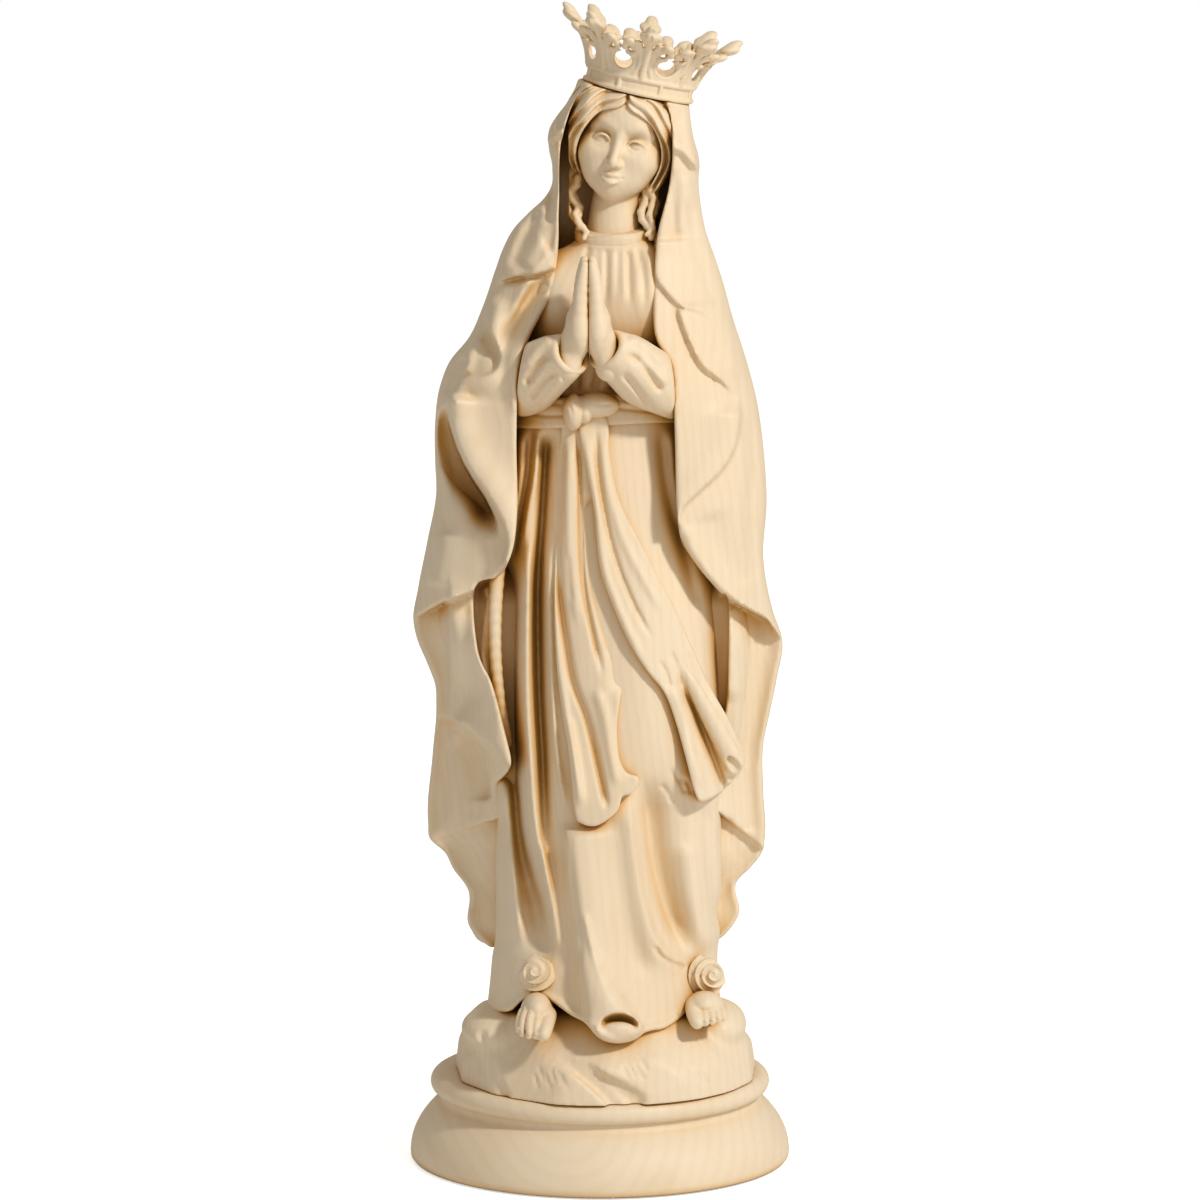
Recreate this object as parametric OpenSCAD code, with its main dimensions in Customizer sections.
// Carved wooden Madonna with praying hands and a lift-off crown, on a turned plinth.
// The figure is glued up from carved blocks. Millimetres, +Z up, the figure faces -Y.

/* [Plinth] */
// Diameter of the plinth at its foot
plinth_d = 196; // [190:1:204]
// Height of the turned plinth, without the felt
plinth_h = 45; // [42:0.5:48]
// Thickness of the felt disc under the plinth
felt_t = 3; // [2.5:0.5:4]

/* [Figure] */
// Height of the flat top of the rock, where the gown stands
rock_top = 75; // [72:0.5:78]
// Height of the shoulder joint, where the veil block is glued on
shoulder_z = 474; // [470:1:478]
// Sideways tilt of the head and the crown, in degrees
head_tilt = 12.5; // [8:0.5:15]

/* [Crown] */
// Inner radius of the crown's band
crown_r = 25.2; // [24.5:0.1:26]
// Height of the crown's band
band_h = 9; // [7:0.5:11]
// Number of leaves around the crown
leaf_count = 8; // [6:1:8]
// Running clearance between the crown and its seat, on the radius
crown_gap = 0.07; // [0.05:0.01:0.1]

/* [Hardware] */
// Radius of the plinth screws' shanks
screw_r = 2.4; // [2:0.1:3]
// Radius of the dowels in the neck
dowel_r = 5; // [4:0.5:6]

/* [Hidden] */
$fn = 48;

wood = [0.92, 0.82, 0.66];
pale_wood = [0.95, 0.87, 0.72];
turned_wood = [0.90, 0.82, 0.68];
steel = [0.72, 0.72, 0.70];
felt = [0.20, 0.32, 0.24];

glue = 0.2;                       // gap left for glue between neighbouring blocks
felt_show = 0.5;                  // how far the felt stands out under the plinth
plinth_foot = felt_show;          // lowest face of the plinth
plinth_top = plinth_foot + plinth_h;
rim_r = 87.5;                     // radius of the plinth's top disc
rim_t = 10.5;                     // thickness of that disc
foot_r = plinth_d / 2;
screw_count = 3;
screw_ring_r = 45;
screw_head_r = 4.8;
crown_seat = [19, -3, 549];       // centre of the crown's seat
crown_lean = [2, head_tilt, 0];   // the crown leans a little forward and with the head
boss_h = 6;                       // height of the round block inside the crown
head_centre = [13.5, -5, 528];
neck_centre = [7, -5];
hand_plane = -6;                  // x of the plane where the palms meet
wrist_dowel_r = 2;
sash_low = 379;
sash_high = 395;
sash_t = 4;                       // thickness of the sash in the middle of its width
tail_top = sash_low - glue;

// Gown: height, half width, half depth, centre x, centre y.
GOWN = [
    [rock_top + glue, 60, 60, 2, -9], [90, 58, 55, 2, -8], [120, 57, 50, 2, -7], [160, 57, 47, 3, -6],
    [200, 56, 46, 4, -5], [250, 53, 43, 5, -3], [300, 48, 39, 5, -1], [345, 42, 34, 4, 0],
    [380, 38, 30, 2, 1], [410, 39, 30, 2, 2], [440, 40, 29, 3, 3], [460, 37, 26, 5, 4],
    [shoulder_z, 30, 22, 7, 5]
];
// Mantle: height, reach to the left, reach to the right, reach to the back, reach to the front.
MANTLE = [
    [108, 60, 61, 40, 20], [122, 66, 70, 42, 24], [164, 86, 80, 45, 30], [210, 85, 83, 48, 36],
    [250, 85, 88, 50, 42], [276, 94, 92, 51, 46], [300, 91, 86, 51, 48], [345, 83, 84, 49, 48],
    [380, 83, 82, 47, 46], [405, 79, 76, 45, 44], [436, 62, 67, 42, 38], [456, 53, 61, 39, 32],
    [shoulder_z, 43, 54, 37, 26]
];
// Hem of the mantle: angle from the front, height. The cloth falls lower towards the back.
HEM_RIGHT_ARM = [[20, 305], [60, 292], [80, 276], [90, 215], [100, 166], [120, 122], [180, 110]];
HEM_LEFT_ARM = [[20, 312], [50, 292], [78, 270], [90, 205], [100, 160], [120, 125], [180, 110]];
// Distance of the mantle's front edges from the middle, by height.
EDGE_RIGHT_ARM = [[250, 55], [300, 50], [330, 43], [400, 42], [425, 38], [450, 27], [shoulder_z, 22]];
EDGE_LEFT_ARM = [[250, 62], [300, 52], [330, 40], [380, 38], [420, 34], [450, 29], [shoulder_z, 28]];
// Veil: centre x, centre y, height, half width, half depth, sideways tilt of the ring.
VEIL = [
    [5.5, 6, shoulder_z + glue, 48, 31, 0], [11, 4, 488, 40, 33, 0], [12.5, 1, 500, 37.5, 34, 0],
    [11.7, -1, 516, 37.7, 35, 2], [12.3, -1, 524, 36.5, 35, 5], [14.5, -2, 534, 33, 33, 9],
    [17, -2.5, 542, 29.6, 30, 12]
];

function column(rows, c) = [for (r = rows) [r[0], r[c]]];
function mix(a, b, t) = a + (b - a) * t;
function at(z, rows, c) = lookup(z, column(rows, c));

function gown_point(a, z, grow) = [
    at(z, GOWN, 3) + (at(z, GOWN, 1) + grow) * sin(a),
    at(z, GOWN, 4) - (at(z, GOWN, 2) + grow) * cos(a),
    z
];
// Angle at which the gown, grown by grow, reaches x at height z.
function gown_angle(x, z, grow = 0) =
    asin(max(-0.96, min(0.96, (x - at(z, GOWN, 3)) / (at(z, GOWN, 1) + grow))));

// side is -1 for the figure's right, which is at -X, and 1 for its left.
function mantle_reach(side, z) = at(z, MANTLE, side < 0 ? 1 : 2);
function mantle_edge(side, z) = lookup(z, side < 0 ? EDGE_RIGHT_ARM : EDGE_LEFT_ARM);
function mantle_hem(side, a) = lookup(a, side < 0 ? HEM_RIGHT_ARM : HEM_LEFT_ARM);
function mantle_point(side, a, z) = [
    side * mantle_reach(side, z) * sin(a) + (a > 120 ? 3 * (a - 120) / 60 : 0),
    a < 90 ? -at(z, MANTLE, 4) * cos(a) : -at(z, MANTLE, 3) * cos(a),
    z
];

// Two triangles for the four-cornered face p, q, r, s.
function quad(p, q, r, s) = [[p, q, r], [p, r, s]];
function flat(lists) = [for (l = lists) each l];

// Solid between two surfaces, each a grid of points over u and v from 0 to 1.
module grid_solid(outer, inner, nu, nv) {
    row = nu + 1;
    half = row * (nv + 1);
    points = concat(
        [for (j = [0 : nv]) for (i = [0 : nu]) outer(i / nu, j / nv)],
        [for (j = [0 : nv]) for (i = [0 : nu]) inner(i / nu, j / nv)]
    );
    walls = [
        for (j = [0 : nv - 1]) for (i = [0 : nu - 1])
            let (k = j * row + i)
            each concat(
                quad(k, k + row, k + row + 1, k + 1),
                quad(half + k, half + k + 1, half + k + row + 1, half + k + row)
            )
    ];
    ends = [
        for (i = [0 : nu - 1])
            let (k = i, m = nv * row + i)
            each concat(
                quad(k, k + 1, half + k + 1, half + k),
                quad(m, half + m, half + m + 1, m + 1)
            )
    ];
    sides = [
        for (j = [0 : nv - 1])
            let (k = j * row, m = j * row + nu)
            each concat(
                quad(k, half + k, half + k + row, k + row),
                quad(m, m + row, half + m + row, half + m)
            )
    ];
    polyhedron(points, concat(walls, ends, sides));
}

// Solid through a stack of closed rings, each a list of the same number of points.
module ring_solid(rings) {
    n = len(rings[0]);
    last = len(rings) - 1;
    middle = [for (r = [rings[0], rings[last]]) [for (c = [0 : 2]) sum_of(r, c) / n]];
    points = concat(flat(rings), middle);
    base = n * len(rings);
    walls = [
        for (j = [0 : last - 1]) for (i = [0 : n - 1])
            let (k = j * n, m = (i + 1) % n)
            each quad(k + i, k + n + i, k + n + m, k + m)
    ];
    caps = [
        for (i = [0 : n - 1])
            let (m = (i + 1) % n, k = last * n)
            each [[base, i, m], [base + 1, k + m, k + i]]
    ];
    polyhedron(points, concat(walls, caps));
}
function sum_of(list, c, i = 0) = i == len(list) ? 0 : list[i][c] + sum_of(list, c, i + 1);

module plinth_profile() {
    steps = 10;
    neck = [83, plinth_top - rim_t - 5];
    foot = [foot_r, plinth_foot + 4];
    belly = [
        for (i = [0 : steps])
            let (t = i / steps)
            mix(foot, neck, t) + 2.3 * sin(180 * t) * [0.87, 0.5]
    ];
    rim = [
        for (i = [0 : steps])
            let (a = -90 + 180 * i / steps, r = rim_t / 2)
            [rim_r - r + r * cos(a), plinth_top - r + r * sin(a)]
    ];
    polygon(concat(
        [[0, plinth_foot], [foot_r - 1.5, plinth_foot]],
        belly, [[82, plinth_top - rim_t - 2]], rim, [[0, plinth_top]]
    ));
}

module at_screws() {
    for (i = [0 : screw_count - 1])
        rotate([0, 0, 90 + i * 360 / screw_count])
            translate([screw_ring_r, 0, 0]) children();
}

module plinth() {
    color(turned_wood) difference() {
        rotate_extrude() plinth_profile();
        translate([0, 0, plinth_foot - 1]) cylinder(r = 82, h = felt_t - felt_show + 1);
        at_screws() {
            cylinder(r = screw_head_r + 0.3, h = 12);
            cylinder(r = screw_r + 0.2, h = plinth_top + 1);
        }
    }
}

module felt_disc() {
    color(felt) cylinder(r = 81.5, h = felt_t - 0.05);
}

module plinth_screws() {
    shank_end = plinth_top + 20;
    color(steel) at_screws() {
        translate([0, 0, 8.8]) difference() {
            union() {
                cylinder(r = screw_head_r, h = 3.2);
                cylinder(r = screw_r, h = shank_end - 8.8 - 4);
                translate([0, 0, shank_end - 8.8 - 4]) cylinder(r1 = screw_r, r2 = 0.4, h = 4);
            }
            translate([0, 0, -0.5]) for (a = [0, 90])
                rotate([0, 0, a]) cube([5.2, 1.1, 4], center = true);
        }
    }
}

function rock_ring(z, w, d, rough) = [
    for (i = [0 : 35])
        let (a = i * 10, bump = 1 + rough * (sin(3 * a + 40) + 0.7 * sin(5 * a + 15)))
        [1 + w * bump * sin(a), -5 - d * bump * cos(a), z]
];

module rock() {
    color(wood) difference() {
        ring_solid([
            rock_ring(plinth_top, 75, 75, 0.012), rock_ring(plinth_top + 6, 76, 76, 0.016),
            rock_ring(rock_top - 14, 74, 75, 0.02), rock_ring(rock_top - 5, 71, 73, 0.02),
            rock_ring(rock_top, 66, 69, 0.015)
        ]);
        at_screws() cylinder(r = screw_r, h = plinth_top + 20.2);
        translate([2, -5, rock_top - 20]) cylinder(r = 8, h = 21);
    }
}

module core_dowel() {
    color(pale_wood) translate([2, -5, rock_top - 19.8]) cylinder(r = 8, h = 39.6);
}

// The body of the gown, grown by grow. Its lowest ring stands on the rock.
module gown_form(grow) {
    ring_solid([
        for (r = GOWN) [for (i = [0 : 47]) gown_point(i * 7.5, r[0], grow)]
    ]);
}

module gown() {
    color(wood) difference() {
        gown_form(0);
        translate([2, -5, rock_top - 1]) cylinder(r = 8, h = 21);
        translate([neck_centre[0], neck_centre[1], shoulder_z - 20])
            cylinder(r = dowel_r, h = 21);
    }
}

// The mantle between the angles share_0 and share_1 of the way from its front edge to the back.
module mantle_block(side, share_0, share_1, steps) {
    top = shoulder_z;
    function away(u) = mix(share_0, share_1, side > 0 ? u : 1 - u);
    function height(u, v) = mix(mantle_hem(side, 20 + 160 * away(u)), top, v);
    function outer(u, v) = let (
        z = height(u, v),
        front = asin(min(0.9, mantle_edge(side, z) / mantle_reach(side, z)))
    ) mantle_point(side, mix(front, 180, away(u)), z);
    function inner(u, v) = let (
        z = height(u, v),
        front = abs(gown_angle(side * mantle_edge(side, z), z, glue))
    ) gown_point(side * mix(front, 180, away(u)), z, -2);
    difference() {
        grid_solid(
            function(u, v) outer(u, v), function(u, v) inner(u, v), steps, 12
        );
        gown_form(glue);
    }
}

module mantle_left() { color(wood) mantle_block(1, 0, 0.68, 12); }
module mantle_right() { color(wood) mantle_block(-1, 0, 0.68, 12); }
module mantle_back() {
    color(wood) {
        mantle_block(1, 0.685, 1, 7);
        mantle_block(-1, 0.685, 1, 7);
    }
}

module collar() {
    color(pale_wood) translate([neck_centre[0], neck_centre[1], shoulder_z + glue])
        difference() {
            cylinder(r = 17.5, h = 7);
            translate([0, 0, -1]) cylinder(r = 13.2, h = 9);
        }
}

module in_head_frame() {
    translate(head_centre) rotate([0, head_tilt, 0]) children();
}

// Egg of the head, grown by grow all round: chin down, crown up.
module egg(grow) {
    low = -33;
    high = 27;
    rotate_extrude() polygon([
        for (i = [0 : 16])
            let (t = -90 + 180 * i / 16, r = (22.5 + grow) * cos(t) * (1 + 0.08 * sin(t)))
            [max(0, r), (t < 0 ? -low + grow : high + grow) * sin(t)]
    ]);
}

module head() {
    color(pale_wood) difference() {
        union() {
            intersection() {
                in_head_frame() egg(0);
                below_crown();
            }
            translate([neck_centre[0], neck_centre[1], shoulder_z + glue])
                cylinder(r = 13, h = 32);
        }
        translate([neck_centre[0], neck_centre[1], shoulder_z - 1])
            cylinder(r = dowel_r, h = 17);
    }
}

module neck_dowel() {
    color(pale_wood) translate([neck_centre[0], neck_centre[1], shoulder_z - 19.8])
        cylinder(r = dowel_r, h = 35.4);
}

// Everything more than 6 mm under the crown's seat.
module below_crown() {
    translate(crown_seat) rotate(crown_lean) translate([-60, -60, -126]) cube([120, 120, 120]);
}

module hair() {
    color(wood) difference() {
        intersection() {
            in_head_frame() egg(3.2);
            below_crown();
        }
        in_head_frame() egg(glue);
        translate([-60, -110, 400]) cube([140, 95, 200]);
        translate([neck_centre[0], neck_centre[1], 480]) cylinder(r = 13.2, h = 28);
    }
}

function veil_ring(r) = [
    for (i = [0 : 35])
        let (a = i * 10)
        [r[0] + r[3] * sin(a), r[1] - r[4] * cos(a), r[2] - r[3] * sin(a) * tan(r[5])]
];
function seat_ring(r) = [
    for (i = [0 : 35])
        let (a = i * 10, x = r * sin(a), y = -r * cos(a), lean = crown_lean[0])
        crown_seat + [
            x * cos(head_tilt) + y * sin(lean) * sin(head_tilt),
            y * cos(lean),
            -x * sin(head_tilt) + y * sin(lean) * cos(head_tilt)
        ]
];

module veil() {
    color(wood) difference() {
        ring_solid(concat([for (r = VEIL) veil_ring(r)], [seat_ring(crown_r + 2.4)]));
        // the hollow for the head and the hair, and the one for the neck and the collar
        hull() intersection() {
            in_head_frame() egg(3.4);
            below_crown();
        }
        hull() translate([neck_centre[0], neck_centre[1], 470]) cylinder(r = 18, h = 38);
        // the opening in front of the face
        translate([-15, -60, 470]) cube([47, 47, 66]);
    }
}

// Round block on top of the veil, which the crown's band slips over.
module crown_boss() {
    color(wood) translate(crown_seat) rotate(crown_lean) translate([0, 0, 0.1])
        cylinder(r = crown_r - crown_gap, h = boss_h);
}

module sash_band() {
    function across(u) = mix(-60, 52, u);
    function up(v) = mix(sash_low, sash_high, v);
    color(wood) difference() {
        grid_solid(
            function(u, v) gown_point(across(u), up(v), sash_t - 1.6 + 1.6 * sin(180 * v)),
            function(u, v) gown_point(across(u), up(v), glue),
            20, 4
        );
        for (side = [-1, 1]) sleeve_form(side, glue);
    }
}

module sash_knot() {
    color(pale_wood) difference() {
        hull() {
            translate([-13, -35, 386]) sphere(r = 7.5, $fn = 24);
            translate([0, -36, 390]) sphere(r = 6, $fn = 24);
        }
        gown_form(sash_t + glue / 2);
        sleeve_form(-1, glue);
    }
}

// A hanging end of the sash between the x of its two edges, each listed by height.
module sash_tail(low, high, from_x, to_x) {
    function up(v) = mix(low, high, v);
    function edge(x, z) = gown_angle(lookup(z, x), z, 2);
    function across(u, z) = mix(edge(from_x, z), edge(to_x, z), u);
    color(wood) grid_solid(
        function(u, v) gown_point(across(u, up(v)), up(v), 5),
        function(u, v) gown_point(across(u, up(v)), up(v), glue),
        6, 14
    );
}

module sash_tail_right() {
    sash_tail(182, tail_top, [[182, -10], [240, -18], [330, -23], [372, -19]],
        [[182, 16], [240, 0], [330, -6], [372, -10]]);
}

module sash_tail_left() {
    sash_tail(196, tail_top, [[196, 50], [240, 37], [290, 12], [310, 2], [340, -2], [372, -8]],
        [[196, 58], [240, 54], [290, 34], [310, 26], [340, 10], [372, 3]]);
}

function elbow(side) = side < 0 ? [-25.2, -27.5, 392] : [23.4, -27.5, 392];
function wrist(side) = [hand_plane + side * 9.5, -57, 418];
function palm(side) = [hand_plane + side * 5.6, -57, 429.5];

module sleeve_form(side, grow) {
    hull() {
        translate(elbow(side)) sphere(r = 11 + grow, $fn = 32);
        translate(wrist(side)) sphere(r = 8.8 + grow, $fn = 32);
    }
}

module sleeve(side) {
    color(wood) difference() {
        sleeve_form(side, 0);
        gown_form(glue);
        wrist_hole(side);
        hand_form(side, glue);
    }
}

module wrist_hole(side) {
    translate(wrist(side) - [0, 0, 8]) rotate([0, -side * 8, 0])
        cylinder(r = wrist_dowel_r + 0.06, h = 22.4);
}

module hand_form(side, grow) {
    hull() {
        translate(palm(side)) sphere(r = 5.2 + grow, $fn = 24);
        translate([hand_plane + side * 5, -56, 446]) sphere(r = 4.6 + grow, $fn = 24);
        translate([hand_plane + side * 4, -65, 444]) sphere(r = 3.6 + grow, $fn = 24);
        translate([hand_plane + side * 2.8, -62, 467]) sphere(r = 2.4 + grow, $fn = 24);
    }
}

module hand(side) {
    color(pale_wood) difference() {
        hand_form(side, 0);
        wrist_hole(side);
    }
}

module right_sleeve() { sleeve(-1); }
module left_sleeve() { sleeve(1); }
module right_hand() { hand(-1); }
module left_hand() { hand(1); }

module wrist_dowels() {
    color(pale_wood) for (side = [-1, 1])
        translate(wrist(side) - [0, 0, 7.8]) rotate([0, -side * 8, 0])
            cylinder(r = wrist_dowel_r, h = 22);
}

module foot(where, turn) {
    color(pale_wood) difference() {
        translate([where[0], where[1], rock_top + glue]) rotate([0, 0, turn]) hull() {
            translate([-6, -9, 0]) cylinder(r = 4, h = 6);
            translate([5, -10, 0]) cylinder(r = 5, h = 8);
            translate([0, 8, 0]) cylinder(r = 8, h = 19);
        }
        gown_form(glue);
    }
}

module right_foot() { foot([-34, -60], -8); }
module left_foot() { foot([54, -45], 14); }

module rose(where, r) {
    color(pale_wood) difference() {
        translate(where) rotate([75, 0, 0]) hull() {
            translate([0, 0, r * 0.25]) sphere(r = r * 0.55, $fn = 24);
            for (a = [0 : 72 : 288])
                rotate([0, 0, a]) translate([r * 0.6, 0, 0]) sphere(r = r * 0.4, $fn = 16);
        }
        gown_form(glue);
    }
}

module right_rose() { rose([-33, -50, 109], 10); }
module left_rose() { rose([54, -31, 108], 10.5); }

// One leaf of the crown, flat: a stem that opens into two scrolls and a knob.
module leaf_outline() {
    difference() {
        union() {
            translate([-2.4, -1]) square([4.8, 24]);
            for (s = [-1, 1]) translate([s * 4.8, 18]) circle(r = 4.9);
            translate([0, 26.5]) circle(r = 5);
            translate([-6, -1]) square([12, 4.5]);
        }
        for (s = [-1, 1]) translate([s * 5.6, 17]) circle(r = 1.9);
    }
}

module crown() {
    wall = 2.3;
    flare = 30;
    color(pale_wood) translate(crown_seat) rotate(crown_lean) difference() {
        union() {
            rotate_extrude() polygon([
                [crown_r - 1, 0.1], [crown_r + wall + 0.6, 0.1], [crown_r + wall + 0.6, 2.2],
                [crown_r + wall, 2.6], [crown_r + wall, band_h - 2.6],
                [crown_r + wall + 0.6, band_h - 2.2], [crown_r + wall + 0.6, band_h],
                [crown_r - 1, band_h]
            ]);
            for (i = [0 : leaf_count - 1])
                rotate([0, 0, i * 360 / leaf_count]) translate([0, -crown_r - wall, band_h - 1])
                    rotate([90 + flare, 0, 0]) translate([0, 0, -wall / 2])
                        linear_extrude(wall) leaf_outline();
        }
        translate([0, 0, -1]) cylinder(r = crown_r, h = band_h + 2);
    }
}

felt_disc();
plinth();
plinth_screws();
rock();
core_dowel();
gown();
mantle_left();
mantle_right();
mantle_back();
collar();
veil();
crown_boss();
head();
hair();
neck_dowel();
sash_band();
sash_knot();
sash_tail_right();
sash_tail_left();
right_sleeve();
left_sleeve();
right_hand();
left_hand();
wrist_dowels();
right_foot();
left_foot();
right_rose();
left_rose();
crown();
